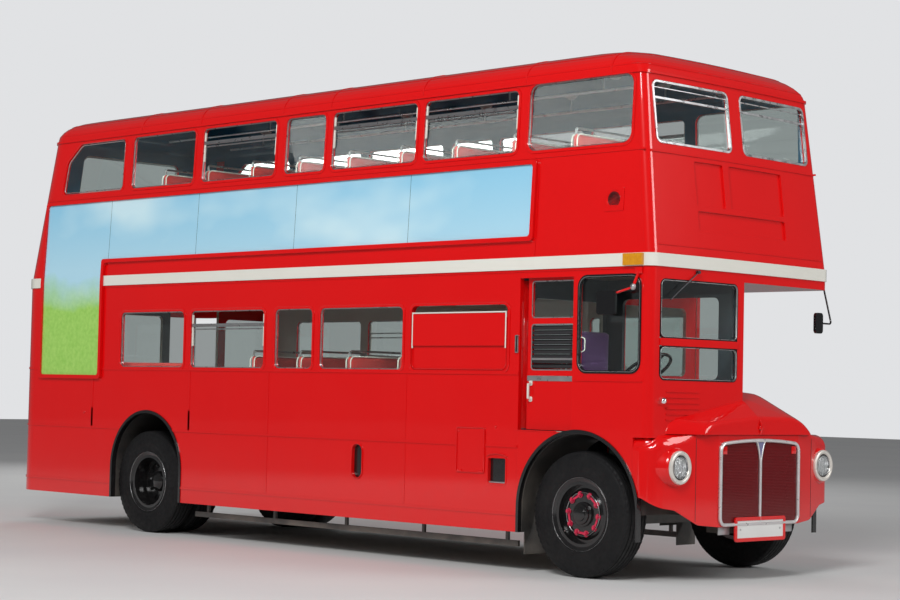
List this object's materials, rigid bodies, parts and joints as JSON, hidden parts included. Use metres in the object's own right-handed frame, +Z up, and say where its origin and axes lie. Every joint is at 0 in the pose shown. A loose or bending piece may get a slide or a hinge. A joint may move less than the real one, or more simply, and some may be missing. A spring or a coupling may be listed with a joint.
{
  "type": "half-cab double decker bus",
  "caption": "Red half-cab double decker bus with an open rear platform, front engine under a side-hinged bonnet and a sliding cab door.",
  "frame": {"origin": "on the road at mid length and mid width", "axes": "+X forward, +Y to the nearside (left), +Z up"},
  "size_m": [9.132, 2.6, 4.3791],
  "materials": {
    "red_paint": "gloss enamel",
    "cream_paint": "gloss enamel",
    "window_glass": "clear safety glass",
    "tyre_rubber": "worn rubber",
    "wheel_black": "gloss black enamel",
    "chassis_black": "dusty black paint",
    "lip_black": "black beading",
    "silver_trim": "polished",
    "chrome_trim": "bright plate",
    "mesh_red": "gloss enamel on mesh",
    "board_blue": "printed vinyl",
    "seat_cloth": "woven moquette",
    "seat_steel": "grey enamel",
    "floor_board": "varnished slats",
    "inner_panel": "satin enamel",
    "engine_grey": "painted casting",
    "plate_white": "bare plate",
    "lamp_amber": "ribbed amber lens",
    "lamp_red": "ribbed red lens"
  },
  "bodies": {
    "bus": {"arch_lips": "lip_black", "axles": "chassis_black", "board_frames": "red_paint", "board_panels": "board_blue", "bonnet_cowl": "red_paint", "bulkheads": "inner_panel", "cab_floor": "inner_panel", "cab_glass": "window_glass", "cab_shell": "red_paint", "cream_band": "cream_paint", "door_track": "silver_trim", "driveline": "chassis_black", "driver_seat_pads": "seat_cloth", "engine_block": "engine_grey", "front_panel": "red_paint", "grille_frame": "silver_trim", "grille_mesh": "mesh_red", "handrails": "chrome_trim", "indicators": "lamp_amber", "lamp_glass": "window_glass", "lamps": "chrome_trim", "lower_floor": "floor_board", "lower_rear": "red_paint", "lower_sides": "red_paint", "mirrors": "lip_black", "mouldings": "red_paint", "number_plate": "plate_white", "platform": "floor_board", "platform_pole": "chrome_trim", "rear_lamps": "lamp_red", "roof": "red_paint", "saloon_glass": "window_glass", "seat_frames": "seat_steel", "seat_pads_lower": "seat_cloth", "seat_pads_upper": "seat_cloth", "side_fittings": "red_paint", "staircase": "seat_steel", "steering_wheel": "lip_black", "underframe": "chassis_black", "upper_floor": "floor_board", "upper_front": "red_paint", "upper_rear": "red_paint", "upper_sides": "red_paint", "wheel_boxes": "chassis_black", "window_bars": "silver_trim", "wings": "red_paint", "wipers": "chrome_trim"},
    "steering_offside": {"knuckle_offside": "chassis_black"},
    "steering_nearside": {"knuckle_nearside": "chassis_black"},
    "front_road_wheel_offside": {"front_wheel_offside": "wheel_black", "front_tyre_offside": "tyre_rubber"},
    "front_road_wheel_nearside": {"front_wheel_nearside": "wheel_black", "front_tyre_nearside": "tyre_rubber"},
    "rear_twin_offside": {"rear_wheels_offside": "wheel_black", "rear_tyres_offside": "tyre_rubber"},
    "rear_twin_nearside": {"rear_wheels_nearside": "wheel_black", "rear_tyres_nearside": "tyre_rubber"},
    "sliding_door": {"cab_door": "red_paint", "door_glass": "window_glass"},
    "bonnet": {"bonnet_lid": "red_paint"}
  },
  "joints": [
    {"name": "steer_offside", "type": "hinge", "parent": "bus", "child": "steering_offside", "pos_m": [3.6, -0.9, 0.517], "axis": [0, 0, 1], "range_deg": [-35, 35]},
    {"name": "steer_nearside", "type": "hinge", "parent": "bus", "child": "steering_nearside", "pos_m": [3.6, 0.9, 0.517], "axis": [0, 0, 1], "range_deg": [-35, 35]},
    {"name": "spin_front_offside", "type": "hinge", "parent": "steering_offside", "child": "front_road_wheel_offside", "pos_m": [3.6, -1.03, 0.517], "axis": [0, 1, 0], "continuous": true},
    {"name": "spin_rear_offside", "type": "hinge", "parent": "bus", "child": "rear_twin_offside", "pos_m": [-2.242, -0.8825, 0.517], "axis": [0, 1, 0], "continuous": true},
    {"name": "spin_front_nearside", "type": "hinge", "parent": "steering_nearside", "child": "front_road_wheel_nearside", "pos_m": [3.6, 1.03, 0.517], "axis": [0, 1, 0], "continuous": true},
    {"name": "spin_rear_nearside", "type": "hinge", "parent": "bus", "child": "rear_twin_nearside", "pos_m": [-2.242, 0.8825, 0.517], "axis": [0, 1, 0], "continuous": true},
    {"name": "slide_door", "type": "slide", "parent": "bus", "child": "sliding_door", "axis": [1, 0, 0], "range_m": [-0.045, 0.4]},
    {"name": "lift_bonnet", "type": "hinge", "parent": "bus", "child": "bonnet", "pos_m": [3.75, -0.028, 1.559], "axis": [1, 0, 0], "range_deg": [0, 80]}
  ],
  "couplings": [
    {"joint": "steer_nearside", "follows": "steer_offside", "ratio": 1}
  ]
}
